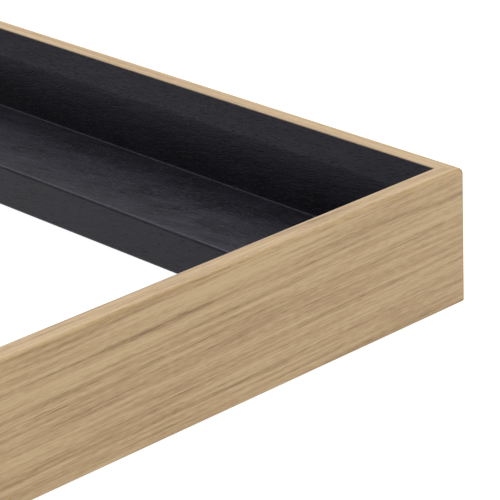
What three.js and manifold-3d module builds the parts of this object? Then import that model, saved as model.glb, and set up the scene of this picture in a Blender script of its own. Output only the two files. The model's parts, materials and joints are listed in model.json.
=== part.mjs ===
// An open deep frame, the kind sold as a shadow box, tray frame or floater frame for a stretched canvas.
// Four mitred sides make it. Each side is an upright oak wall, lined with black stained veneer, on the
// outside of a black stained ledge, so that its section is an L. The canvas stands on the ledges, with a
// narrow dark gap round it, and the frame hangs from two D-ring strap hangers on its back.
//
// Millimetres. +Z is the frame's front, +Y its top edge as it hangs and +X its right side, seen from the
// front. The origin is the middle of the plane that the hangers and bumpers rest on, which is the wall.
import * as THREE from "three";
import { mergeVertices } from "three/addons/utils/BufferGeometryUtils.js";
import Module from "manifold-3d";

// ---- driving dimensions ----

const FRAME_WIDTH = 320;
const FRAME_HEIGHT = 420;
const FRAME_DEPTH = 35; // from the back of the wood to the rim

const WALL_THICKNESS = 5.2;
const LINER_THICKNESS = 1.1;
const PROFILE_WIDTH = 36.7; // from the outer face of a wall to the free edge of its ledge
const LEDGE_THICKNESS = 11.8;

const RIM_OUTER_ARRIS = 1.5;
const RIM_INNER_ARRIS = 0.2;
const SMALL_ARRIS = 0.5;
const CORNER_ROUND = 1.2; // the upright edges at the frame's four outer corners
const ARRIS_STEPS = 4;

const V_NAIL_ARM = 6;
const V_NAIL_THICKNESS = 0.6;
const V_NAIL_HEIGHT = 9;
const V_NAIL_SUNK = 0.5;
const V_NAIL_GAP = 0.3;
const V_NAIL_INSETS = { outer: 13, inner: 29 }; // from both outer faces of the frame, on the mitre

const HANGER_DROP = 100; // from the frame's top edge down to the axis of a D-ring
const RING_WIRE_RADIUS = 1.2;
const RING_HALF_WIDTH = 8.2; // to the wire's centre line
const RING_BEND = 2.5;
const RING_SPLIT = 0.4; // the butt joint in the bar, inside the strap's loop
const RING_SIDES = 12;
const RING_STEPS = 56;

const STRAP_SHEET = 0.8; // the strap is one strip folded double round the bar of the ring
const STRAP_WIDTH = 10;
const STRAP_LENGTH = 22; // from the bar's axis to the round end
const STRAP_BAR_GAP = 0.25;
const STRAP_HOLE_RADIUS = 2.3;
const SCREW_REACH = 16.5; // from the bar's axis to the screw

const SCREW_SHANK_RADIUS = 1.2;
const SCREW_THREAD_RADIUS = 1.75;
const SCREW_THREAD_PITCH = 1.6;
const SCREW_LENGTH = 9; // below the head
const SCREW_POINT = 2.5;
const SCREW_HEAD_RADIUS = 3.5;
const SCREW_HEAD_HEIGHT = 2.3;
const SCREW_RECESS = { width: 0.9, reach: 1.9, depth: 1.4 };
const PILOT_GAP = 0.2;

const BUMPER_RADIUS = 6;
const BUMPER_FOOT_RADIUS = 4.2;
const BUMPER_SIDE = 120; // from the frame's middle line

const ROUND_SEGMENTS = 32;

// ---- places worked out from them ----

const ledgeOuter = WALL_THICKNESS + LINER_THICKNESS;
const ledgeMiddle = (ledgeOuter + PROFILE_WIDTH) / 2;
const strapThickness = 2 * STRAP_SHEET;
const loopRadius = RING_WIRE_RADIUS + STRAP_BAR_GAP + STRAP_SHEET;
const backOfWood = 2 * loopRadius; // the hangers' loops hold the wood this far off the wall
const barHeight = backOfWood - loopRadius;
const barY = FRAME_HEIGHT / 2 - HANGER_DROP;
const hangerX = FRAME_WIDTH / 2 - ledgeMiddle;
const bumperY = -FRAME_HEIGHT / 2 + ledgeMiddle;

// ---- finishes ----

const finish = (colour, roughness, metalness) =>
  new THREE.MeshStandardMaterial({ color: colour, roughness, metalness });
const oak = finish(0xb49b79, 0.55, 0);
const blackOak = finish(0x2d2c31, 0.45, 0);
const steel = finish(0x8d8f92, 0.35, 1);
const nickel = finish(0xc9c6bf, 0.25, 1);
const zinc = finish(0xb9bcc0, 0.3, 1);
const rubber = finish(0x3a3a3a, 0.8, 0);

// ---- joining and cutting ----

const wasm = await Module();
wasm.setup();

// A closed geometry as a solid that can be joined and cut.
function solid(geometry) {
  const bare = geometry.index ? geometry.toNonIndexed() : geometry.clone();
  bare.deleteAttribute("normal");
  bare.deleteAttribute("uv");
  const merged = mergeVertices(bare, 1e-4);
  return new wasm.Manifold(
    new wasm.Mesh({
      numProp: 3,
      vertProperties: new Float32Array(merged.attributes.position.array),
      triVerts: new Uint32Array(merged.index.array),
    }),
  );
}

// The solid's surface as a geometry.
function surface(made) {
  const mesh = made.getMesh();
  const geometry = new THREE.BufferGeometry();
  geometry.setAttribute("position", new THREE.BufferAttribute(new Float32Array(mesh.vertProperties), 3));
  geometry.setIndex(new THREE.BufferAttribute(new Uint32Array(mesh.triVerts), 1));
  geometry.computeVertexNormals();
  return geometry;
}

function cut(geometry, tools) {
  return surface(tools.reduce((left, tool) => left.subtract(solid(tool)), solid(geometry)));
}

// A geometry turned about Z so that a profile made upright along Y stands along Z.
const standing = (geometry) => geometry.rotateX(Math.PI / 2);

// A round post or cutter along Z, from z0 up to z1, at x, y.
function post(radius, x, y, z0, z1) {
  return standing(new THREE.CylinderGeometry(radius, radius, z1 - z0, ROUND_SEGMENTS)).translate(
    x,
    y,
    (z0 + z1) / 2,
  );
}

// ---- the four sides ----

// A rectangle's outline with rounded corners: inset runs across it and height up it.
function boardSection(inset0, inset1, height0, height1, radii) {
  const { outerFoot = 0, innerFoot = 0, innerTop = 0, outerTop = 0 } = radii;
  const corners = [
    { inset: inset0, height: height0, radius: outerFoot, start: Math.PI },
    { inset: inset1, height: height0, radius: innerFoot, start: 1.5 * Math.PI },
    { inset: inset1, height: height1, radius: innerTop, start: 0 },
    { inset: inset0, height: height1, radius: outerTop, start: 0.5 * Math.PI },
  ];
  const points = corners.flatMap(({ inset, height, radius, start }) => {
    if (radius === 0) return [new THREE.Vector2(inset, height)];
    const middleInset = inset + (inset === inset0 ? radius : -radius);
    const middleHeight = height + (height === height0 ? radius : -radius);
    const arc = new THREE.EllipseCurve(middleInset, middleHeight, radius, radius, start, start + Math.PI / 2);
    return arc.getPoints(ARRIS_STEPS);
  });
  return new THREE.Shape(points);
}

// A section carried along a side of the frame, with both ends cut to the mitre: a point that is set in
// from the outer face stops short of the frame's corner by the same amount.
function mitredBoard(section, length) {
  const board = new THREE.ExtrudeGeometry(section, {
    depth: length,
    bevelEnabled: false,
    curveSegments: ARRIS_STEPS,
  });
  const place = board.attributes.position;
  for (let i = 0; i < place.count; i++) {
    const inset = place.getX(i);
    const height = place.getY(i);
    const end = place.getZ(i) === 0 ? -1 : 1;
    place.setXYZ(i, end * (length / 2 - inset), inset, height + backOfWood);
  }
  return board;
}

const sides = [
  { name: "bottom", length: FRAME_WIDTH, turn: 0, x: 0, y: -FRAME_HEIGHT / 2 },
  { name: "right", length: FRAME_HEIGHT, turn: 1, x: FRAME_WIDTH / 2, y: 0 },
  { name: "top", length: FRAME_WIDTH, turn: 2, x: 0, y: FRAME_HEIGHT / 2 },
  { name: "left", length: FRAME_HEIGHT, turn: 3, x: -FRAME_WIDTH / 2, y: 0 },
];

// Moves a board from the bottom edge's own place, outer face on y = 0, to its side of the frame. Whole
// quarter turns keep every number exact, so that boards that touch share the same plane.
function toSide(board, side) {
  const cosine = [1, 0, -1, 0][side.turn];
  const sine = [0, 1, 0, -1][side.turn];
  const place = board.attributes.position;
  for (let i = 0; i < place.count; i++) {
    const along = place.getX(i);
    const inset = place.getY(i);
    place.setXY(i, side.x + cosine * along - sine * inset, side.y + sine * along + cosine * inset);
  }
  return board;
}

const wallSection = boardSection(0, WALL_THICKNESS, 0, FRAME_DEPTH, {
  outerTop: RIM_OUTER_ARRIS,
  innerTop: RIM_INNER_ARRIS,
  outerFoot: SMALL_ARRIS,
});
const linerSection = boardSection(WALL_THICKNESS, ledgeOuter, 0, FRAME_DEPTH - RIM_INNER_ARRIS, {});
const ledgeSection = boardSection(ledgeOuter, PROFILE_WIDTH, 0, LEDGE_THICKNESS, {
  outerTop: SMALL_ARRIS / 2,
  innerTop: SMALL_ARRIS,
  innerFoot: SMALL_ARRIS,
});

// The frame's outline with its corners rounded, carried up past both faces.
function roundedOutline() {
  const x = FRAME_WIDTH / 2;
  const y = FRAME_HEIGHT / 2;
  const outline = new THREE.Shape();
  outline.absarc(x - CORNER_ROUND, CORNER_ROUND - y, CORNER_ROUND, -Math.PI / 2, 0, false);
  outline.absarc(x - CORNER_ROUND, y - CORNER_ROUND, CORNER_ROUND, 0, Math.PI / 2, false);
  outline.absarc(CORNER_ROUND - x, y - CORNER_ROUND, CORNER_ROUND, Math.PI / 2, Math.PI, false);
  outline.absarc(CORNER_ROUND - x, CORNER_ROUND - y, CORNER_ROUND, Math.PI, 1.5 * Math.PI, false);
  outline.closePath();
  return new THREE.ExtrudeGeometry(outline, {
    depth: 2 * FRAME_DEPTH,
    bevelEnabled: false,
    curveSegments: 2 * ARRIS_STEPS,
  });
}

// The hole that a hanger's screw bites into, on the right or left ledge.
function pilotHole(handed) {
  const top = backOfWood + SCREW_LENGTH - strapThickness + PILOT_GAP;
  return post(SCREW_THREAD_RADIUS + PILOT_GAP, handed * hangerX, barY - SCREW_REACH, 0, top);
}

// ---- the corners' V-nails ----

const corners = [
  { name: "bottom_right", right: 1, up: -1 },
  { name: "top_right", right: 1, up: 1 },
  { name: "top_left", right: -1, up: 1 },
  { name: "bottom_left", right: -1, up: -1 },
];

// A bent strip driven into a mitre from the back, with one arm in each of the two ledges. The gap grows
// it all round, which makes the slot that it has driven for itself.
function vNail(corner, inset, gap, bottom, top) {
  const arm = V_NAIL_ARM + gap;
  const inner = V_NAIL_THICKNESS + gap;
  const outline = [
    [-gap, -gap],
    [-gap, arm],
    [inner, arm],
    [inner, inner],
    [arm, inner],
    [arm, -gap],
  ].map(
    ([across, along]) =>
      new THREE.Vector2(
        corner.right * (FRAME_WIDTH / 2 - inset - across),
        corner.up * (FRAME_HEIGHT / 2 - inset - along),
      ),
  );
  return new THREE.ExtrudeGeometry(new THREE.Shape(outline), {
    depth: top - bottom,
    bevelEnabled: false,
  }).translate(0, 0, bottom);
}

const nailBottom = backOfWood + V_NAIL_SUNK;
const nailTop = nailBottom + V_NAIL_HEIGHT;
const nailSlots = corners.flatMap((corner) =>
  Object.values(V_NAIL_INSETS).map((inset) => vNail(corner, inset, V_NAIL_GAP, 0, nailTop + V_NAIL_GAP)),
);

// ---- the D-ring hangers ----

// The ring's centre line, from one side of the split in its bar round to the other. Local frame: the bar
// along X through the origin, the bow towards +Y.
function ringPath() {
  const bend = RING_BEND;
  const barEnd = RING_HALF_WIDTH - bend;
  const start = RING_SPLIT / 2;
  const path = new THREE.CurvePath();
  const flat = (x, y) => new THREE.Vector3(x, y, 0);
  const turn = (x, y, radius, from, to) => {
    const points = new THREE.EllipseCurve(x, y, radius, radius, from, to).getPoints(24);
    const arc = new THREE.CatmullRomCurve3(points.map((point) => flat(point.x, point.y)));
    path.add(arc);
  };
  path.add(new THREE.LineCurve3(flat(start, 0), flat(barEnd, 0)));
  turn(barEnd, bend, bend, -Math.PI / 2, 0);
  turn(0, bend, RING_HALF_WIDTH, 0, Math.PI);
  turn(-barEnd, bend, bend, Math.PI, 1.5 * Math.PI);
  path.add(new THREE.LineCurve3(flat(-barEnd, 0), flat(-start, 0)));
  return path;
}

function dRing() {
  const wire = new THREE.Shape();
  for (let i = 0; i < RING_SIDES; i++) {
    const angle = (2 * Math.PI * (i + 0.5)) / RING_SIDES;
    const x = RING_WIRE_RADIUS * Math.cos(angle);
    const y = RING_WIRE_RADIUS * Math.sin(angle);
    if (i) wire.lineTo(x, y);
    else wire.moveTo(x, y);
  }
  wire.closePath();
  return new THREE.ExtrudeGeometry(wire, { extrudePath: ringPath(), steps: RING_STEPS });
}

// The strap's side view, y along it and z up from the wood's face at 0 down to the loop: two layers of
// sheet with a loop round the bar at one end.
function strapSection() {
  const outline = new THREE.Shape();
  const step = Math.acos((loopRadius - strapThickness) / loopRadius);
  outline.moveTo(-STRAP_LENGTH, 0);
  outline.lineTo(0, 0);
  outline.absarc(0, -loopRadius, loopRadius, Math.PI / 2, Math.PI / 2 - 2 * Math.PI + step, true);
  outline.lineTo(-STRAP_LENGTH, -strapThickness);
  outline.closePath();
  const eye = new THREE.Path();
  eye.absarc(0, -loopRadius, RING_WIRE_RADIUS + STRAP_BAR_GAP, 0, 2 * Math.PI, false);
  outline.holes.push(eye);
  return outline;
}

// A strap hanger's plate with its bar axis on the local X axis and its end towards -Y.
function strap() {
  const sheet = new THREE.ExtrudeGeometry(strapSection(), {
    depth: STRAP_WIDTH,
    bevelEnabled: false,
    curveSegments: ROUND_SEGMENTS,
  });
  // the section's y runs along the strap and its z is the sheet's depth across it
  sheet.applyMatrix4(
    new THREE.Matrix4().set(0, 0, 1, -STRAP_WIDTH / 2, 1, 0, 0, 0, 0, 1, 0, loopRadius, 0, 0, 0, 1),
  );
  const plan = new THREE.Shape();
  const half = STRAP_WIDTH / 2;
  const room = 2 * loopRadius;
  plan.moveTo(half, room);
  plan.lineTo(-half, room);
  plan.lineTo(-half, half - STRAP_LENGTH);
  plan.absarc(0, half - STRAP_LENGTH, half, Math.PI, 2 * Math.PI, false);
  plan.closePath();
  const blank = new THREE.ExtrudeGeometry(plan, {
    depth: 2 * room,
    bevelEnabled: false,
    curveSegments: ROUND_SEGMENTS / 2,
  }).translate(0, 0, -room);
  const hole = post(STRAP_HOLE_RADIUS, 0, -SCREW_REACH, -room, room);
  return surface(solid(sheet).intersect(solid(blank)).subtract(solid(hole)));
}

// A pan head wood screw pointing up, its head's underside at z = 0, with a ridge for each turn of thread.
function hangerScrew() {
  const profile = [
    [0, -SCREW_HEAD_HEIGHT],
    [0.45 * SCREW_HEAD_RADIUS, -SCREW_HEAD_HEIGHT],
    [0.75 * SCREW_HEAD_RADIUS, -0.87 * SCREW_HEAD_HEIGHT],
    [0.94 * SCREW_HEAD_RADIUS, -0.6 * SCREW_HEAD_HEIGHT],
    [SCREW_HEAD_RADIUS, -0.3 * SCREW_HEAD_HEIGHT],
    [SCREW_HEAD_RADIUS, 0],
    [SCREW_THREAD_RADIUS, 0],
    [SCREW_THREAD_RADIUS, strapThickness],
  ];
  const threadTop = SCREW_LENGTH - SCREW_POINT;
  for (let z = strapThickness + SCREW_THREAD_PITCH / 2; z < threadTop; z += SCREW_THREAD_PITCH) {
    profile.push([SCREW_SHANK_RADIUS, z - SCREW_THREAD_PITCH / 4]);
    profile.push([SCREW_THREAD_RADIUS, z + SCREW_THREAD_PITCH / 4]);
  }
  profile.push([SCREW_SHANK_RADIUS, threadTop], [0, SCREW_LENGTH]);
  const turned = profile.map(([radius, height]) => new THREE.Vector2(radius, height));
  const screw = standing(new THREE.LatheGeometry(turned, ROUND_SEGMENTS));
  const slot = (x, y) =>
    new THREE.BoxGeometry(x, y, 2 * SCREW_RECESS.depth).translate(0, 0, -SCREW_HEAD_HEIGHT);
  const reach = 2 * SCREW_RECESS.reach;
  return cut(screw, [slot(SCREW_RECESS.width, reach), slot(reach, SCREW_RECESS.width)]);
}

// ---- the wall bumpers ----

function bumper() {
  const height = backOfWood;
  const profile = [
    [0, 0],
    [BUMPER_FOOT_RADIUS, 0],
    [BUMPER_FOOT_RADIUS + 0.45 * (BUMPER_RADIUS - BUMPER_FOOT_RADIUS), 0.1 * height],
    [BUMPER_FOOT_RADIUS + 0.8 * (BUMPER_RADIUS - BUMPER_FOOT_RADIUS), 0.3 * height],
    [BUMPER_RADIUS, 0.6 * height],
    [BUMPER_RADIUS, height],
    [0, height],
  ].map(([radius, z]) => new THREE.Vector2(radius, z));
  return standing(new THREE.LatheGeometry(profile, ROUND_SEGMENTS));
}

// ---- the frame ----

const frame = new THREE.Group();

function add(name, geometry, material, x = 0, y = 0, z = 0) {
  const mesh = new THREE.Mesh(geometry, material);
  mesh.name = name;
  mesh.position.set(x, y, z);
  frame.add(mesh);
}

const outline = solid(roundedOutline());
for (const side of sides) {
  const wall = solid(toSide(mitredBoard(wallSection, side.length), side));
  add(`${side.name}_wall`, surface(wall.intersect(outline)), oak);
  add(`${side.name}_liner`, toSide(mitredBoard(linerSection, side.length), side), blackOak);
  const ledge = toSide(mitredBoard(ledgeSection, side.length), side);
  const holes = [...nailSlots];
  if (side.name === "right") holes.push(pilotHole(1));
  if (side.name === "left") holes.push(pilotHole(-1));
  add(`${side.name}_ledge`, cut(ledge, holes), blackOak);
}

for (const corner of corners) {
  for (const [place, inset] of Object.entries(V_NAIL_INSETS)) {
    add(`v_nail_${corner.name}_${place}`, vNail(corner, inset, 0, nailBottom, nailTop), steel);
  }
}

for (const [hand, handed] of Object.entries({ left: -1, right: 1 })) {
  const x = handed * hangerX;
  const screwFoot = backOfWood - strapThickness;
  add(`${hand}_hanger_strap`, strap(), nickel, x, barY, barHeight);
  add(`${hand}_d_ring`, dRing(), nickel, x, barY, barHeight);
  add(`${hand}_hanger_screw`, hangerScrew(), zinc, x, barY - SCREW_REACH, screwFoot);
  add(`${hand}_wall_bumper`, bumper(), rubber, handed * BUMPER_SIDE, bumperY, 0);
}

export default frame;
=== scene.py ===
"""The looks of an open deep oak frame with a black stained inside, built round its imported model.

Metres throughout. A side of the frame is worked out in its own three measures: along its length from its
middle, inset from its outer face, and height above the table. The bottom side's length runs along +X.
"""

import json
import math

import bpy
import numpy as np
from mathutils import Matrix, Vector


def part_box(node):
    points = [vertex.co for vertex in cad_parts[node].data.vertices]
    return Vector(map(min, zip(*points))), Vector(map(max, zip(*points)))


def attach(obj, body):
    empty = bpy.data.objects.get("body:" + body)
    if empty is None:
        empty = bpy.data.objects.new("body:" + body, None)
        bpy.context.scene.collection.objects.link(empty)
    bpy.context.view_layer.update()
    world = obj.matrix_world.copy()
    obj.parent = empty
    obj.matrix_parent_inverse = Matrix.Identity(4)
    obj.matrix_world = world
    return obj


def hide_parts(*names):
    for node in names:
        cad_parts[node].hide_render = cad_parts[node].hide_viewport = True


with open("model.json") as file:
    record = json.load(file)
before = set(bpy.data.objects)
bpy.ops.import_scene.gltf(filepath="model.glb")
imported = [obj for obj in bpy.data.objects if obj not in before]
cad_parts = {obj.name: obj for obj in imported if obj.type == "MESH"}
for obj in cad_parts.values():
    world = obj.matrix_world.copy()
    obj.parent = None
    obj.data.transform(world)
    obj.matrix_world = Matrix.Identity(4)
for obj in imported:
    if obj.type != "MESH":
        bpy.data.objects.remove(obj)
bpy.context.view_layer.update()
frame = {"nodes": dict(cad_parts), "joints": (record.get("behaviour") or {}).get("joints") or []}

MM = 0.001

# ---- sizes read from the model ----

SIDES = ("bottom", "right", "top", "left")
QUARTER_TURNS = ((1, 0), (0, 1), (-1, 0), (0, -1))  # cosine and sine of each side's turn

HALF_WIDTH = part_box("right_wall")[1].x
HALF_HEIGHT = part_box("top_wall")[1].y
BACK_OF_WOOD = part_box("right_wall")[0].z
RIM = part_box("right_wall")[1].z
WALL_INSET = HALF_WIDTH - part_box("right_wall")[0].x
LINER_INSET = HALF_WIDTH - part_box("right_liner")[0].x
LINER_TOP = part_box("right_liner")[1].z
LEDGE_INSET = HALF_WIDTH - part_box("right_ledge")[0].x
LEDGE_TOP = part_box("right_ledge")[1].z

# ---- sizes of the finish ----

RIM_OUTER_ARRIS = 1.5 * MM
RIM_INNER_ARRIS = RIM - LINER_TOP
FOOT_ARRIS = 0.5 * MM
CORNER_ROUND = 1.2 * MM  # the upright corner edges, sanded after the frame was joined
LEDGE_ARRIS = 0.75 * MM
LINER_FEATHER = 7 * MM  # the height over which a liner thins to nothing, so that its top edge is hidden
LINER_EASE = 10 * MM  # the radius of the soft bend where it begins to thin
LEDGE_COVE = 0.3 * MM  # stain and glue left in the angle between ledge and liner
SUPPORT = 0.05 * MM  # points this far from each arris keep the flats flat in their shading
ARC_STEPS = 8
STATION_PITCH = 20 * MM
SHARP_ABOVE = math.radians(35)
EDGE_REFLECTION_GAIN = 1.7  # over 1, so that the middle of an edge's rounding takes the full painted reflection
BOARD_SHIFT = np.array([0.71, 0.043, 0.029])  # metres along, up and across the grain, from board to board


# ---- meshes ----


def make_piece(name, points, faces):
    """A mesh piece from its points and faces, smooth except at its sharp edges."""
    mesh = bpy.data.meshes.new(name)
    mesh.from_pydata(np.asarray(points).reshape(-1, 3).tolist(), [], faces)
    mesh.shade_smooth()
    mesh.set_sharp_from_angle(angle=SHARP_ABOVE)
    piece = bpy.data.objects.new(name, mesh)
    bpy.context.scene.collection.objects.link(piece)
    return piece


def grid_faces(rows, columns):
    """Quads of a grid of points whose rows each close on themselves, and one n-gon to close each end."""
    row, column = np.meshgrid(np.arange(rows - 1), np.arange(columns), indexing="ij")
    following = (column + 1) % columns
    here, there = row * columns, (row + 1) * columns
    quads = np.stack([here + column, here + following, there + following, there + column], axis=-1)
    first = np.arange(columns)[::-1]
    last = (rows - 1) * columns + np.arange(columns)
    return quads.reshape(-1, 4).tolist() + [first.tolist(), last.tolist()]


def shaped_by(piece, kind, **settings):
    """Runs one modifier on a piece and keeps its result as the piece's mesh."""
    modifier = piece.modifiers.new(kind.title(), kind)
    for setting, value in settings.items():
        setattr(modifier, setting, value)
    bpy.context.view_layer.update()
    shaped = piece.evaluated_get(bpy.context.evaluated_depsgraph_get())
    mesh = bpy.data.meshes.new_from_object(shaped)
    piece.modifiers.clear()
    old = piece.data
    piece.data = mesh
    bpy.data.meshes.remove(old)
    mesh.name = piece.name
    return piece


def cut_away(piece, cutters):
    """Takes each cutter's closed shape out of a piece, which uses the cutters up."""
    for cutter in cutters:
        shaped_by(piece, "BOOLEAN", object=cutter, operation="DIFFERENCE", solver="EXACT")
        bpy.data.objects.remove(cutter)
    piece.data.shade_smooth()
    piece.data.set_sharp_from_angle(angle=SHARP_ABOVE)
    return piece


def rounded_outline(corners):
    """A closed outline from corners given as (across, up, radius). A corner with a radius becomes an arc
    tangent to both of its straights, with a support point on each straight just outside the arc."""
    places = np.array([corner[:2] for corner in corners], float)
    pieces = []
    for index, (_, _, radius) in enumerate(corners):
        here = places[index]
        if radius == 0:
            pieces.append(here[None])
            continue
        back = places[index - 1] - here
        onward = places[(index + 1) % len(corners)] - here
        back, onward = back / np.linalg.norm(back), onward / np.linalg.norm(onward)
        half_angle = math.acos(np.clip(back @ onward, -1, 1)) / 2
        reach = radius / math.tan(half_angle)
        middle = here + (back + onward) / np.linalg.norm(back + onward) * radius / math.sin(half_angle)
        start, end = here + back * reach - middle, here + onward * reach - middle
        turn = math.atan2(start[0] * end[1] - start[1] * end[0], start @ end)
        angles = np.linspace(0, turn, ARC_STEPS + 1)[:, None]
        arc = middle + start * np.cos(angles) + np.array([-start[1], start[0]]) * np.sin(angles)
        supports = here + np.stack([back, onward]) * (reach + SUPPORT)
        pieces += [supports[:1], arc, supports[1:]]
    return np.concatenate(pieces)


# ---- the four sides ----


def half_lengths(side):
    """Half of a side's own length, and how far its outer face is from the frame's middle."""
    lengths = (HALF_WIDTH, HALF_HEIGHT)
    turn = SIDES.index(side) % 2
    return lengths[turn], lengths[1 - turn]


def to_side(side, along, inset, height):
    """Places in the frame for measures on a side: the bottom side, turned about the middle by quarters."""
    cosine, sine = QUARTER_TURNS[SIDES.index(side)]
    down = inset - half_lengths(side)[1]
    x = cosine * along - sine * down
    y = sine * along + cosine * down
    return np.stack([x, y, height + 0 * along], axis=-1)


def board(name, side, section, corner_round=0.0):
    """A mitred board. A point of the section, at an inset i, runs along the side from mitre to mitre, and
    on the mitre it is also i from the frame's end. A point nearer to the outer face than the corner's
    radius r follows the corner round instead, 45 degrees of an arc of radius r - i about the upright line
    that is r from both outer faces."""
    inset, height = section.T
    half = half_lengths(side)[0]
    turned = inset < corner_round
    first_straight = inset.max() + 4 * corner_round + MM
    count = 2 + int((half - first_straight) / STATION_PITCH)
    from_end = np.linspace(first_straight, half, count)[:, None] + 0 * inset
    insets = 0 * from_end + inset
    if turned.any():
        angles = np.linspace(math.pi / 4, 0, ARC_STEPS + 1)[:, None]
        radius = np.where(turned, corner_round - inset, 0)
        step = corner_round * (1 - np.sin(angles) / math.sin(math.pi / 4))
        end = np.where(turned, corner_round - radius * np.sin(angles), inset + step)
        end_insets = np.where(turned, corner_round - radius * np.cos(angles), inset)
    else:
        end, end_insets = inset[None], inset[None]
    from_end = np.concatenate([end, from_end])
    insets = np.concatenate([end_insets, insets])
    along = np.concatenate([from_end - half, half - from_end[-2::-1]])
    insets = np.concatenate([insets, insets[-2::-1]])
    points = to_side(side, along, insets, height + 0 * insets)
    return make_piece(name, points, grid_faces(*along.shape))


def give_grain(piece, side, shift):
    """Writes the attributes that the wood finishes read. "grain" is each point's along, height and inset,
    moved by a shift that keeps any two boards from being alike. The second attribute is 1 where a sharp
    edge would have been and falls to 0 over the edge's own rounding; the oak finish uses it for a painted
    reflection, greying rounded edges as if they showed the darker floor behind them."""
    mesh = piece.data
    places = np.empty(len(mesh.vertices) * 3, np.float32)
    mesh.vertices.foreach_get("co", places)
    x, y, z = places.reshape(-1, 3).T
    cosine, sine = QUARTER_TURNS[SIDES.index(side)]
    half, reach = half_lengths(side)
    along = cosine * x + sine * y
    inset = reach - sine * x + cosine * y
    grain = np.stack([along, z, inset], axis=-1) + shift
    edges = [
        (inset, z - BACK_OF_WOOD, FOOT_ARRIS),
        (inset, half - np.abs(along), CORNER_ROUND),
        (WALL_INSET - inset, RIM - z, RIM_INNER_ARRIS),
    ]
    # Painted reflection: how far each point's oak is greyed, most on the middle of a rounded edge, as if it
    # reflected the darker floor behind it.
    painted_reflection_mask = [EDGE_REFLECTION_GAIN * (1 - np.hypot(one, other) / rounding) for one, other, rounding in edges]
    painted_reflection_mask = np.clip(np.max(painted_reflection_mask, axis=0), 0, 1)
    grain_written = mesh.attributes.new("grain", "FLOAT_VECTOR", "POINT")
    grain_written.data.foreach_set("vector", grain.astype("f").ravel())
    reflection_mask_written = mesh.attributes.new("painted_reflection_mask", "FLOAT", "POINT")
    reflection_mask_written.data.foreach_set("value", painted_reflection_mask.astype("f"))


# ---- turned and bent pieces ----


def turned_shape(name, profile, centre, steps=64, lift=None):
    """A profile of (radius, height) turned about an upright axis through the centre. Its first and last
    points are its poles. lift, if given, adds to the radius from the height and the angle."""
    angles = np.linspace(0, 2 * math.pi, steps, endpoint=False)
    profile = np.asarray(profile, float)
    radius, height = (column[:, None] + 0 * angles for column in profile[1:-1].T)
    if lift:
        radius = radius + lift(height, angles)
    rings = np.stack([radius * np.cos(angles), radius * np.sin(angles), height], axis=-1).reshape(-1, 3)
    poles = np.array([[0, 0, profile[0, 1]], [0, 0, profile[-1, 1]]])
    around = np.arange(steps)
    following = (around + 1) % steps
    last_ring = len(rings) - steps
    near_pole = np.stack([following, around, 0 * around + len(rings)], axis=-1)
    far_pole = np.stack([last_ring + around, last_ring + following, 0 * around + len(rings) + 1], axis=-1)
    faces = grid_faces(len(profile) - 2, steps)[:-2] + near_pole.tolist() + far_pole.tolist()
    return make_piece(name, np.concatenate([rings, poles]) + np.array(centre), faces)


def carried(name, section, path, across, up):
    """A closed section of (across, up) carried along a path. Each station adds the section's first measure
    times its own across direction, and the second times its own up direction."""
    points = path[:, None] + section[None, :, :1] * across[:, None] + section[None, :, 1:] * up[:, None]
    return make_piece(name, points, grid_faces(len(path), len(section)))


def on_arc(centre, radius, start, end, steps):
    """Places along an arc in a plane, its ends included, from degrees."""
    angles = np.radians(np.linspace(start, end, steps + 1))[:, None]
    return np.array(centre) + radius * np.hstack([np.cos(angles), np.sin(angles)])


def upright_post(radius, centre, low, high, steps=48):
    """A plain upright post to cut with."""
    ring = on_arc(centre[:2], radius, 0, 360, steps)[:-1]
    points = np.concatenate([np.c_[ring, np.full(steps, level)] for level in (low, high)])
    return make_piece("cutter", points, grid_faces(2, steps))


def upright_prism(outline, low, high):
    """A closed outline, anticlockwise from above, carried straight up, to cut with."""
    points = np.concatenate([np.c_[outline, np.full(len(outline), level)] for level in (low, high)])
    return make_piece("cutter", points, grid_faces(2, len(outline)))


# ---- finishes ----


def colour(code):
    """A hex colour as the linear values that a shader works in."""
    channels = np.array([int(code[i : i + 2], 16) for i in (1, 3, 5)]) / 255
    linear = np.where(channels <= 0.04045, channels / 12.92, ((channels + 0.055) / 1.055) ** 2.4)
    return (*linear.tolist(), 1.0)


def add(tree, kind, inputs=None, **settings):
    """Adds one node with its settings. An input is a value, or the socket that feeds it."""
    node = tree.nodes.new("ShaderNode" + kind)
    for setting, value in settings.items():
        setattr(node, setting, value)
    for socket, value in (inputs or {}).items():
        if isinstance(value, bpy.types.NodeSocket):
            tree.links.new(value, node.inputs[socket])
        else:
            node.inputs[socket].default_value = value
    return node


def new_finish(name):
    """A material with nothing in it yet, and its node tree."""
    material = bpy.data.materials.new(name)
    material.use_nodes = True
    material.node_tree.nodes.clear()
    return material, material.node_tree


def surfaced(tree, **inputs):
    """Ends a material's tree with its shader, whose inputs are named with _ for a space."""
    shader = add(tree, "BsdfPrincipled", {name.replace("_", " "): value for name, value in inputs.items()})
    add(tree, "OutputMaterial", {"Surface": shader.outputs["BSDF"]})


def ramped(tree, factor, stops):
    """A colour from a factor, through (place, hex colour) stops."""
    ramp = add(tree, "ValToRGB", {"Fac": factor})
    elements = ramp.color_ramp.elements
    for element, (place, code) in zip(elements, (stops[0], stops[-1])):
        element.position, element.color = place, colour(code)
    for place, code in stops[1:-1]:
        elements.new(place).color = colour(code)
    return ramp.outputs["Color"]


def drawn_out(tree, place, length, width, tilt=0.0, detail=2.0, roughness=0.5):
    """Noise whose cells are drawn out along the grain to about that length and width. tilt turns them
    from the board's own length, both up the board and across it."""
    turned = add(
        tree,
        "Mapping",
        {"Vector": place, "Rotation": (0, tilt, tilt), "Scale": (length, width, width)},
        vector_type="TEXTURE",
    )
    inputs = {"Vector": turned.outputs["Vector"], "Scale": 1.0, "Detail": detail, "Roughness": roughness}
    return add(tree, "TexNoise", inputs).outputs["Fac"]


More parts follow.
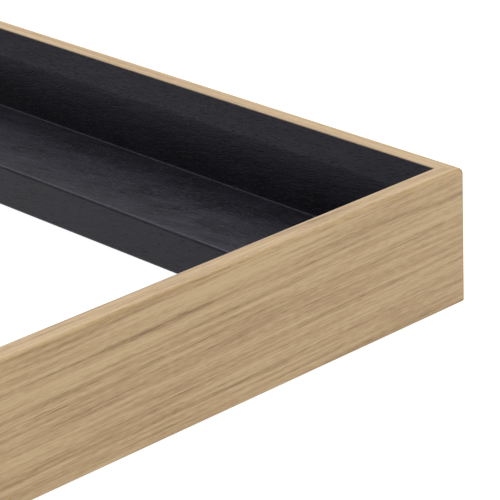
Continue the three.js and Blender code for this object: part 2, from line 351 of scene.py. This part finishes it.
def summed(tree, middle, terms):
    """middle, plus each (factor, weight) term's weight times its factor's distance from a half."""
    total = middle - sum(weight for _, weight in terms) / 2
    for factor, weight in terms:
        total = add(tree, "Math", {0: factor, 1: weight, 2: total}, operation="MULTIPLY_ADD").outputs[0]
    return total


def above(tree, factor, low, high):
    """0 where a factor is below low, 1 above high, and a smooth step between them."""
    inputs = {"Value": factor, "From Min": low, "From Max": high}
    return add(tree, "MapRange", inputs, interpolation_type="SMOOTHSTEP").outputs["Result"]


def wandering(tree, place, length, width, reach):
    """The grain's places, pushed across it by slow noise, so that its lines wander by about that reach."""
    slow = add(
        tree,
        "Mapping",
        {"Vector": place, "Scale": (length, width, width)},
        vector_type="TEXTURE",
    )
    noise = add(tree, "TexNoise", {"Vector": slow.outputs["Vector"], "Scale": 1.0, "Detail": 1.0})
    pushed = add(
        tree,
        "VectorMath",
        {0: noise.outputs["Color"], 1: (0, reach, reach), 2: place},
        operation="MULTIPLY_ADD",
    )
    return pushed.outputs["Vector"]


def oak_finish(name, slope):
    """European oak, rift sawn so that its rings show as straight lines, planed, sanded and matt
    lacquered. Rings are 2 to 5 mm apart, rays and fibres make finer streaks, and open pores are short dark
    scratches up to 10 mm long, most of them in the spring wood of each ring. A real pore is about 0.2 mm
    wide, and is drawn 0.28 mm wide so that it shows. slope is the angle by which the lines climb along
    the board."""
    material, tree = new_finish(name)
    place = add(tree, "Attribute", attribute_name="grain").outputs["Vector"]
    lines = wandering(tree, place, 90 * MM, 12 * MM, 0.5 * MM)
    rings = drawn_out(tree, lines, 500 * MM, 2.1 * MM, slope, detail=3, roughness=0.62)
    streaks = drawn_out(tree, lines, 160 * MM, 0.7 * MM, slope, detail=2)
    fibres = drawn_out(tree, lines, 35 * MM, 0.3 * MM, slope, detail=2, roughness=0.7)
    flecks = drawn_out(tree, lines, 2.5 * MM, 0.2 * MM, slope, detail=1)
    patches = drawn_out(tree, lines, 60 * MM, 9 * MM, slope, detail=1)
    pore_cells = drawn_out(tree, lines, 9 * MM, 0.28 * MM, slope, detail=1)
    late_wood = above(tree, rings, 0.5, 0.36)
    pores = above(tree, pore_cells, 0.58, 0.7)
    pores_here = add(tree, "Math", {0: pores, 1: late_wood}, operation="MULTIPLY").outputs[0]
    lines_and_marks = [
        (rings, 1.1),
        (streaks, 0.95),
        (fibres, 0.85),
        (flecks, 0.75),
        (patches, 0.2),
        (pores_here, -0.25),
    ]
    tone = summed(tree, 0.56, lines_and_marks)
    oak = ramped(tree, tone, [(0.1, "#74592f"), (0.4, "#977a50"), (0.6, "#a5875d"), (0.9, "#b69b72")])
    # Painted reflection: rounded edges are mixed towards the grey #6f6453, standing in for the darker floor
    # that they reflect as they turn away.
    painted_reflection_mask = add(tree, "Attribute", attribute_name="painted_reflection_mask").outputs["Fac"]
    painted_reflection_share = add(tree, "Math", {0: painted_reflection_mask, 1: 0.8}, operation="MULTIPLY").outputs[0]
    mixed = {"Fac": painted_reflection_share, "Color1": oak, "Color2": colour("#6f6453")}
    base = add(tree, "MixRGB", mixed).outputs["Color"]
    depth = summed(tree, 0.5, [(fibres, 0.5), (pores_here, -0.8)])
    bump = add(tree, "Bump", {"Height": depth, "Distance": 0.03 * MM, "Strength": 0.6})
    gloss = summed(tree, 0.5, [(streaks, 0.15)])
    surfaced(
        tree,
        Base_Color=base,
        Roughness=gloss,
        IOR=1.5,
        Coat_Weight=0.3,
        Coat_Roughness=0.4,
        Normal=bump.outputs["Normal"],
    )
    return material


VENEER_TILT = -10  # degrees from the length of a board to the fibres of its black leaf


def black_oak_finish(name, ior, stops):
    """Oak veneer stained black through its open pores, with a thin satin lacquer. The leaf's fibres lie
    askew, so the pores are slanting scratches. They are drawn 0.35 mm by 7 mm, coarser than the real 0.2 mm
    by 2 to 5 mm, so that they show. The gloss comes and goes in slow clouds, where the lacquer sank in more
    or less. stops are the blacks, from the darkest grain to the lightest; for one and the same stain,
    lighter stops are painted light and darker ones painted shade. A lower ior, given with darker stops, is
    painted shade on an edge, for the shaded floor that it reflects."""
    material, tree = new_finish(name)
    place = add(tree, "Attribute", attribute_name="grain").outputs["Vector"]
    tilt = math.radians(VENEER_TILT)
    fibres = drawn_out(tree, place, 14 * MM, 0.4 * MM, tilt, detail=2)
    pore_cells = drawn_out(tree, place, 7 * MM, 0.35 * MM, tilt, detail=1)
    bands = drawn_out(tree, place, 40 * MM, 2 * MM, tilt, detail=2)
    cloud = drawn_out(tree, place, 16 * MM, 7 * MM, tilt, detail=2)
    pores = above(tree, pore_cells, 0.58, 0.7)
    tone = summed(tree, 0.5, [(fibres, 0.6), (bands, 0.5), (cloud, 0.4), (pores, -0.2)])
    base = ramped(tree, tone, stops)
    depth = summed(tree, 0.5, [(fibres, 0.4), (bands, 0.9), (pores, -0.4)])
    bump = add(tree, "Bump", {"Height": depth, "Distance": 0.08 * MM, "Strength": 1.0})
    gloss = summed(tree, 0.43, [(fibres, 0.12), (bands, 0.15), (cloud, 0.2), (pores, 0.15)])
    surfaced(
        tree,
        Base_Color=base,
        Roughness=gloss,
        IOR=ior,
        Specular_Tint=colour("#eae5ff"),
        Normal=bump.outputs["Normal"],
    )
    return material


def metal_finish(name, low, high, roughness, grain):
    """Plated or bare steel. Rolling and tumbling leave fine marks and a slight mottle, so its colour
    moves between two near ones and its roughness with it."""
    material, tree = new_finish(name)
    place = add(tree, "TexCoord").outputs["Object"]
    mottle = add(tree, "TexNoise", {"Vector": place, "Scale": 1 / (1.5 * MM), "Detail": 3.0}).outputs["Fac"]
    marks = add(tree, "TexNoise", {"Vector": place, "Scale": 1 / grain, "Detail": 1.0}).outputs["Fac"]
    base = ramped(tree, mottle, [(0.3, low), (0.7, high)])
    gloss = summed(tree, roughness, [(mottle, 0.15), (marks, 0.12)])
    bump = add(tree, "Bump", {"Height": marks, "Distance": 0.01 * MM, "Strength": 0.4})
    surfaced(tree, Base_Color=base, Metallic=1.0, Roughness=gloss, Normal=bump.outputs["Normal"])
    return material


def rubber_finish():
    """Moulded rubber with a fine bloom, nearly black, and a dull skin that is rough to the touch."""
    material, tree = new_finish("moulded_rubber")
    place = add(tree, "TexCoord").outputs["Object"]
    bloom = add(tree, "TexNoise", {"Vector": place, "Scale": 1 / (2 * MM), "Detail": 2.0}).outputs["Fac"]
    skin = add(tree, "TexNoise", {"Vector": place, "Scale": 1 / (0.15 * MM)}).outputs["Fac"]
    base = ramped(tree, bloom, [(0.3, "#2b2b2a"), (0.7, "#3a3a38")])
    bump = add(tree, "Bump", {"Height": skin, "Distance": 0.02 * MM, "Strength": 0.5})
    surfaced(tree, Base_Color=base, Roughness=0.78, IOR=1.52, Normal=bump.outputs["Normal"])
    return material


OAK_SLOPES = {"bottom": 1.2, "right": -0.6, "top": 0.8, "left": 0.5}  # degrees
OAK = {side: oak_finish(f"lacquered_oak_{side}", math.radians(slope)) for side, slope in OAK_SLOPES.items()}
# Painted light and shade: the liner and the ledge carry one black stain, but the upright liner gets darker
# blacks as painted shade and the upward ledge lighter ones as painted light.
SHADED_LINER_BLACKS = [(0.2, "#020203"), (0.5, "#060508"), (0.85, "#0e0d12")]
LIT_LEDGE_BLACKS = [(0.2, "#08070a"), (0.5, "#131217"), (0.85, "#1f1e25")]
# Painted shade: the ledge's free edge gets the darkest blacks and a lower ior, for the shaded floor that it
# reflects.
SHADED_EDGE_BLACKS = [(0.2, "#010102"), (0.5, "#08070a"), (0.85, "#1a191d")]
BLACK_LINER = black_oak_finish("black_veneer_painted_shade", 1.41, SHADED_LINER_BLACKS)
BLACK_LEDGE = black_oak_finish("black_oak_painted_light", 1.41, LIT_LEDGE_BLACKS)
BLACK_EDGE = black_oak_finish("black_edge_painted_shade", 1.3, SHADED_EDGE_BLACKS)
NAIL_STEEL = metal_finish("bare_spring_steel", "#77797d", "#94969a", 0.42, 0.12 * MM)
NICKEL = metal_finish("nickel_plated_steel", "#c8c3b9", "#d3cec4", 0.26, 0.2 * MM)
ZINC = metal_finish("zinc_plated_steel", "#b4b9c2", "#cfd2d6", 0.32, 0.25 * MM)
RUBBER = rubber_finish()


# ---- the frame's own pieces ----


def dress(piece, finish, node, body="frame"):
    """Gives a piece its finish, and puts it on its body in the place of a node of the model."""
    piece.data.materials.clear()
    piece.data.materials.append(finish)
    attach(piece, body)
    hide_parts(node)


def paint_shade_on_free_edge(ledge, side):
    """Gives the faces that lie within an arris of the ledge's free edge and stand upright the second black,
    which is painted shade: darker blacks and a lower ior, for the shaded floor that they reflect."""
    faces = ledge.data.polygons
    ledge.data.materials.append(BLACK_EDGE)
    cosine, sine = QUARTER_TURNS[SIDES.index(side)]
    centres = np.empty(3 * len(faces), np.float32)
    normals = np.empty(3 * len(faces), np.float32)
    faces.foreach_get("center", centres)
    faces.foreach_get("normal", normals)
    x, y, _ = centres.reshape(-1, 3).T
    inset = half_lengths(side)[1] - sine * x + cosine * y
    upright = np.abs(normals.reshape(-1, 3)[:, 2]) < 0.5
    free = upright & (inset > LEDGE_INSET - LEDGE_ARRIS / 4)
    faces.foreach_set("material_index", free.astype(np.int32))


def nail_corners(side):
    """The V-nails that stand in a side's two mitres, by the names of their nodes."""
    return [name for name in frame["nodes"] if name.startswith("v_nail_") and side in name.split("_")[2:4]]


def nail_apex(node):
    """Where a V-nail's outer faces meet, and the signs of its way out to the frame's corner."""
    low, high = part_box(node)
    out = np.sign([low.x + high.x, low.y + high.y])
    return np.where(out > 0, [high.x, high.y], [low.x, low.y]), out


NAIL_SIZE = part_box("v_nail_top_right_outer")[1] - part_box("v_nail_top_right_outer")[0]
NAIL_THICKNESS = 0.6 * MM
NAIL_GAP = 0.3 * MM


def nail_slot(node):
    """The L-shaped slot round a V-nail, open at the back of the wood."""
    apex, out = nail_apex(node)
    arm, inner, outer = NAIL_SIZE.x + NAIL_GAP, NAIL_THICKNESS + NAIL_GAP, -NAIL_GAP
    plan = [(outer, outer), (arm, outer), (arm, inner), (inner, inner), (inner, arm), (outer, arm)]
    outline = apex - np.array(plan) * out
    if out.prod() < 0:
        outline = outline[::-1]
    return upright_prism(outline, BACK_OF_WOOD - MM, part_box(node)[1].z + NAIL_GAP)


WALL_SECTION = rounded_outline(
    [
        (0, BACK_OF_WOOD, FOOT_ARRIS),
        (WALL_INSET, BACK_OF_WOOD, 0),
        (WALL_INSET, RIM, RIM_INNER_ARRIS),
        (0, RIM, RIM_OUTER_ARRIS),
    ]
)
LINER_SECTION = rounded_outline(
    [
        (WALL_INSET, BACK_OF_WOOD, 0),
        (LINER_INSET, BACK_OF_WOOD, 0),
        (LINER_INSET, LINER_TOP - LINER_FEATHER, LINER_EASE),
        (WALL_INSET, LINER_TOP, 0),
    ]
)
LEDGE_SECTION = rounded_outline(
    [
        (LINER_INSET, BACK_OF_WOOD, 0),
        (LEDGE_INSET, BACK_OF_WOOD, LEDGE_ARRIS),
        (LEDGE_INSET, LEDGE_TOP, LEDGE_ARRIS),
        (LINER_INSET + 2 * SUPPORT, LEDGE_TOP, LEDGE_COVE),
        (LINER_INSET + 2 * SUPPORT, LEDGE_TOP + LEDGE_COVE + 2 * SUPPORT, 0),
        (LINER_INSET, LEDGE_TOP + LEDGE_COVE + 2 * SUPPORT, 0),
    ]
)

PILOT_RADIUS = 1.95 * MM
PILOT_DEPTH = 8 * MM

for number, side in enumerate(SIDES):
    shift = BOARD_SHIFT * (number + 1)
    wall = board(f"{side}_oak_wall", side, WALL_SECTION, CORNER_ROUND)
    give_grain(wall, side, shift)
    dress(wall, OAK[side], f"{side}_wall")

    liner = board(f"{side}_black_liner", side, LINER_SECTION)
    give_grain(liner, side, -shift)
    dress(liner, BLACK_LINER, f"{side}_liner")

    ledge = board(f"{side}_black_ledge", side, LEDGE_SECTION)
    cutters = [nail_slot(node) for node in nail_corners(side)]
    if side in ("left", "right"):
        low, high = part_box(f"{side}_hanger_screw")
        centre = (low + high) / 2
        cutters.append(upright_post(PILOT_RADIUS, centre, BACK_OF_WOOD - MM, BACK_OF_WOOD + PILOT_DEPTH))
    cut_away(ledge, cutters)
    give_grain(ledge, side, 2 * shift)
    dress(ledge, BLACK_LEDGE, f"{side}_ledge")
    paint_shade_on_free_edge(ledge, side)

# ---- V-nails ----

NAIL_BEND = 0.9 * MM
NAIL_EDGE = 1.4 * MM


def v_nail(node):
    """A strip of spring steel bent square, its plan an arc of NAIL_BEND between two arms, with a ground
    wedge along the edge that goes in first."""
    apex, out = nail_apex(node)
    low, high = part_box(node)
    half = NAIL_THICKNESS / 2
    arm = NAIL_SIZE.x
    bend = on_arc((NAIL_BEND, NAIL_BEND), NAIL_BEND - half, 180, 270, ARC_STEPS)
    straight = NAIL_BEND + SUPPORT
    plan = np.concatenate([[[half, arm], [half, straight]], bend, [[straight, half], [arm, half]]])
    along = np.gradient(plan, axis=0)
    along /= np.linalg.norm(along, axis=1)[:, None]
    across = np.c_[along[:, 1], -along[:, 0]]
    flip = -out
    height = high.z - low.z
    wedge = height - NAIL_EDGE
    section = np.array([(-half, 0), (half, 0), (half, wedge), (0, height), (-half, wedge)])
    if out.prod() < 0:
        section = section[::-1]
    path = np.c_[apex + plan * flip, np.full(len(plan), low.z)]
    across = np.c_[across * flip, np.zeros(len(plan))]
    up = np.tile([0.0, 0.0, 1.0], (len(plan), 1))
    return carried(node.replace("v_nail", "bent_nail"), section, path, across, up)


for node in [name for name in frame["nodes"] if name.startswith("v_nail_")]:
    dress(v_nail(node), NAIL_STEEL, node)

# ---- hangers ----

WIRE_RADIUS = 1.2 * MM
RING_BEND = 2.5 * MM
BUTT_GAP = 0.06 * MM
SHEET = 0.8 * MM
STRAP_HOLE = 2.3 * MM
FOLD = 0.6 * MM
LAYER_GAP = 0.02 * MM  # between the strap's two layers
FOLD_LENGTH = 4 * MM  # from the bar to the last flat station of a layer
STRAP_EDGE = 0.16 * MM


def d_ring(hand, bar):
    """A wire of round section bent to a D in a flat plane: a straight bar along X through the given
    place, two small bends and a half circle, closed by a butt joint in the middle of the bar."""
    low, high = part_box(f"{hand}_d_ring")
    half_width = (high.x - low.x) / 2 - WIRE_RADIUS
    flat = half_width - RING_BEND
    plan = np.concatenate(
        [
            np.c_[np.linspace(BUTT_GAP, flat - SUPPORT, 6), np.zeros(6)],
            on_arc((flat, RING_BEND), RING_BEND, -90, 0, 16),
            on_arc((0, RING_BEND), half_width, 0, 180, 72)[1:-1],
            on_arc((-flat, RING_BEND), RING_BEND, 180, 270, 16),
            np.c_[np.linspace(-flat + SUPPORT, -BUTT_GAP, 6), np.zeros(6)],
        ]
    )
    along = np.gradient(plan, axis=0)
    along /= np.linalg.norm(along, axis=1)[:, None]
    across = np.c_[along[:, 1], -along[:, 0], np.zeros(len(plan))]
    up = np.tile([0.0, 0.0, 1.0], (len(plan), 1))
    section = on_arc((0, 0), WIRE_RADIUS, 0, 360, 32)[:-1]
    path = np.c_[plan, np.zeros(len(plan))] + np.array(bar)
    return carried(f"{hand}_wire_ring", section, path, across, up)


def hanger_strap(hand, bar, screw):
    """One strip of sheet folded round the ring's bar. Its side view is a line of stations: along the
    upper layer, round the loop, over a small fold and back along the lower layer. Its half width falls
    to nothing at both ends as a half circle in plan."""
    low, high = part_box(f"{hand}_hanger_strap")
    half_width = (high.x - low.x) / 2
    length = bar.y - low.y
    loop = (high.z - low.z) / 2 - SHEET / 2
    layer = loop - SHEET - LAYER_GAP
    fold_up = layer - FOLD
    fold_back = -math.sqrt((loop + FOLD) ** 2 - fold_up**2)
    meets = math.degrees(math.atan2(fold_up, fold_back))
    end = half_width * (1 - np.cos(np.radians(np.linspace(4, 90, 20))))
    flat = np.linspace(half_width + MM, length - FOLD_LENGTH, 8)
    stations = np.concatenate([end, flat])
    side = np.concatenate(
        [
            np.c_[stations - length, np.full(len(stations), loop)],
            on_arc((0, 0), loop, 90, meets - 360, 60),
            on_arc((fold_back, fold_up), FOLD, meets - 180, 90, 10)[1:],
            np.c_[(stations - length)[::-1], np.full(len(stations), layer)],
        ]
    )
    along = np.gradient(side, axis=0)
    along /= np.linalg.norm(along, axis=1)[:, None]
    from_end = np.clip(side[:, 0] + length, 0, half_width)
    widths = np.sqrt(half_width**2 - (half_width - from_end) ** 2)
    half = SHEET / 2
    section = rounded_outline(
        [(-1, -half, STRAP_EDGE), (1, -half, STRAP_EDGE), (1, half, STRAP_EDGE), (-1, half, STRAP_EDGE)]
    )
    edge = np.abs(section[:, 0]) - 1
    x = np.sign(section[:, 0]) * np.maximum(widths[:, None] + edge, 0)
    out = np.c_[-along[:, 1], along[:, 0]]
    y = bar.y + side[:, :1] + out[:, :1] * section[:, 1]
    z = bar.z + side[:, 1:] + out[:, 1:] * section[:, 1]
    points = np.stack([bar.x + x, y, z], axis=-1)
    strap = make_piece(f"{hand}_folded_strap", points, grid_faces(*x.shape))
    return cut_away(strap, [upright_post(STRAP_HOLE, screw, low.z - MM, high.z + MM)])


HEAD_RADIUS = 3.5 * MM
HEAD_HEIGHT = 2.3 * MM
SHANK_RADIUS = 1.2 * MM
THREAD_RADIUS = 1.75 * MM
THREAD_PITCH = 1.6 * MM
SCREW_POINT = 2.5 * MM
DOME_POWER = 0.8  # under 1, a dome fuller than a quarter of a ball
DOME_SHARE = 0.85  # of the head's height, the rest being its upright rim
RIM_SHARE = 0.92
RIM_BREAK = 0.1 * MM
RECESS_HALF_WIDTH = 0.45 * MM
RECESS_REACH = 1.9 * MM
RECESS_DEPTH = 1.5 * MM


def hanger_screw(hand):
    """A pan head wood screw, head down: a domed head, then a shank whose thread is a ridge that climbs
    by the pitch in each turn, thinning to nothing at the point."""
    low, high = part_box(f"{hand}_hanger_screw")
    centre = Vector(((low.x + high.x) / 2, (low.y + high.y) / 2, low.z))
    length = high.z - low.z
    dome = on_arc((0, 0), 1, 10, 90, 14)[::-1]
    across, up = (dome**DOME_POWER).T
    head = np.c_[across * HEAD_RADIUS, (1 - up) * HEAD_HEIGHT * DOME_SHARE]
    levels = np.linspace(HEAD_HEIGHT + 0.1 * MM, length - 0.05 * MM, 140)
    core = SHANK_RADIUS * np.clip((length - levels) / SCREW_POINT, 0, 1)
    profile = np.concatenate(
        [
            head,
            [[HEAD_RADIUS, HEAD_HEIGHT * RIM_SHARE], [HEAD_RADIUS - RIM_BREAK, HEAD_HEIGHT]],
            [[THREAD_RADIUS, HEAD_HEIGHT]],
            np.c_[core, levels],
            [[0, length]],
        ]
    )

    def thread(height, angles):
        turns = height / THREAD_PITCH - angles / (2 * math.pi)
        ridge = np.clip(1 - 4 * np.abs((turns % 1) - 0.5), 0, 1)
        fade = np.clip((length - height) / SCREW_POINT, 0, 1)
        return (THREAD_RADIUS - SHANK_RADIUS) * ridge * fade * (height > HEAD_HEIGHT)

    screw = turned_shape(f"{hand}_pan_head_screw", profile, centre, lift=thread)
    cross = []
    for reach in ((RECESS_HALF_WIDTH, RECESS_REACH), (RECESS_REACH, RECESS_HALF_WIDTH)):
        outline = np.array([(-1, -1), (1, -1), (1, 1), (-1, 1)]) * reach + np.array(centre[:2])
        cross.append(upright_prism(outline, low.z - MM, low.z + RECESS_DEPTH))
    return cut_away(screw, cross)


TREAD = 0.72  # share of the bumper's radius
SHOULDER = 0.3  # share of its height, as the next two are
SKIRT = 0.15
WAIST = 0.72


def bumper(hand):
    """A moulded rubber foot, turned: a flat tread, a round shoulder and a flared skirt on the wood."""
    low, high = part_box(f"{hand}_wall_bumper")
    centre = Vector(((low.x + high.x) / 2, (low.y + high.y) / 2, low.z))
    radius, height = (high.x - low.x) / 2, high.z - low.z
    tread = TREAD * radius
    shoulder = on_arc((tread - 0.25 * height, SHOULDER * height), SHOULDER * height, -90, -12, 12)
    profile = np.concatenate(
        [
            [[0, 0], [0.5 * tread, 0]],
            shoulder,
            [[0.93 * radius, WAIST * height]],
            on_arc((radius - SKIRT * height, (1 - SKIRT) * height), SKIRT * height, -40, 60, 8),
            [[0.5 * radius, height], [0, height]],
        ]
    )
    return turned_shape(f"{hand}_rubber_bumper", profile, centre)


JOINT_PLACE = {joint["child"]: Vector(joint["pos_m"]) for joint in frame["joints"]}
for hand in ("left", "right"):
    bar = JOINT_PLACE[f"{hand}_ring"]
    low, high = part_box(f"{hand}_hanger_screw")
    dress(d_ring(hand, bar), NICKEL, f"{hand}_d_ring", body=f"{hand}_ring")
    dress(hanger_strap(hand, bar, (low + high) / 2), NICKEL, f"{hand}_hanger_strap")
    dress(hanger_screw(hand), ZINC, f"{hand}_hanger_screw")
    dress(bumper(hand), RUBBER, f"{hand}_wall_bumper")

# ---- table, light and camera ----

TABLE_HALF = 3.0


def table():
    """A broad flat table top, white and lit from inside, as under a product cut out on white."""
    place = TABLE_HALF * np.array([(-1, -1, 0), (1, -1, 0), (1, 1, 0), (-1, 1, 0)])
    top = make_piece("table", place, [[0, 1, 2, 3]])
    material, tree = new_finish("white_acrylic")
    surfaced(
        tree,
        Base_Color=colour("#6a6a6a"),
        Roughness=0.6,
        Emission_Color=colour("#ffffff"),
        Emission_Strength=0.98,
    )
    top.data.materials.append(material)


def soft_light(name, place, size, power):
    """A large square lamp that faces the middle of the frame."""
    lamp = bpy.data.lights.new(name, "AREA")
    lamp.shape, lamp.size, lamp.energy = "SQUARE", size, power
    light = bpy.data.objects.new(name, lamp)
    light.location = place
    light.rotation_euler = (-Vector(place)).to_track_quat("-Z", "Y").to_euler()
    bpy.context.scene.collection.objects.link(light)


def white_room(strength):
    """Even white light from all round."""
    world = bpy.data.worlds.new("white_room")
    world.use_nodes = True
    tree = world.node_tree
    tree.nodes.clear()
    room = add(tree, "Background", {"Color": colour("#ffffff"), "Strength": strength})
    add(tree, "OutputWorld", {"Surface": room.outputs["Background"]})
    bpy.context.scene.world = world


CAMERA_AZIMUTH = math.radians(-42.57)
CAMERA_ELEVATION = math.radians(23.18)
CAMERA_ROLL = math.radians(-2.54)
CAMERA_LENS = 186.9  # millimetres, on a 36 mm sensor
CAMERA_FROM_CORNER = Vector((-430.3, -391.1, 263.9)) * MM  # from the foot of the bottom right corner


def set_camera():
    """A long lens over the bottom right corner, looking along the azimuth and down by the elevation."""
    ahead = Vector(
        (
            -math.sin(CAMERA_AZIMUTH) * math.cos(CAMERA_ELEVATION),
            math.cos(CAMERA_AZIMUTH) * math.cos(CAMERA_ELEVATION),
            -math.sin(CAMERA_ELEVATION),
        )
    )
    level = ahead.cross(Vector((0, 0, 1))).normalized()
    upright = level.cross(ahead)
    right = math.cos(CAMERA_ROLL) * level + math.sin(CAMERA_ROLL) * upright
    up = math.cos(CAMERA_ROLL) * upright - math.sin(CAMERA_ROLL) * level
    lens = bpy.data.cameras.new("camera")
    lens.sensor_width, lens.lens = 36, CAMERA_LENS
    lens.clip_start = 10 * MM
    camera = bpy.data.objects.new("camera", lens)
    place = Matrix((right, up, -ahead)).transposed().to_4x4()
    place.translation = Vector((HALF_WIDTH, -HALF_HEIGHT, BACK_OF_WOOD)) + CAMERA_FROM_CORNER
    camera.matrix_world = place
    bpy.context.scene.collection.objects.link(camera)
    bpy.context.scene.camera = camera


table()
white_room(0.8)
soft_light("front_window", (-0.6, -0.7, 1.5), 1.4, 6)
soft_light("back_window", (0.65, 0.65, 1.9), 1.8, 22)
set_camera()
bpy.context.scene.view_settings.view_transform = "Standard"
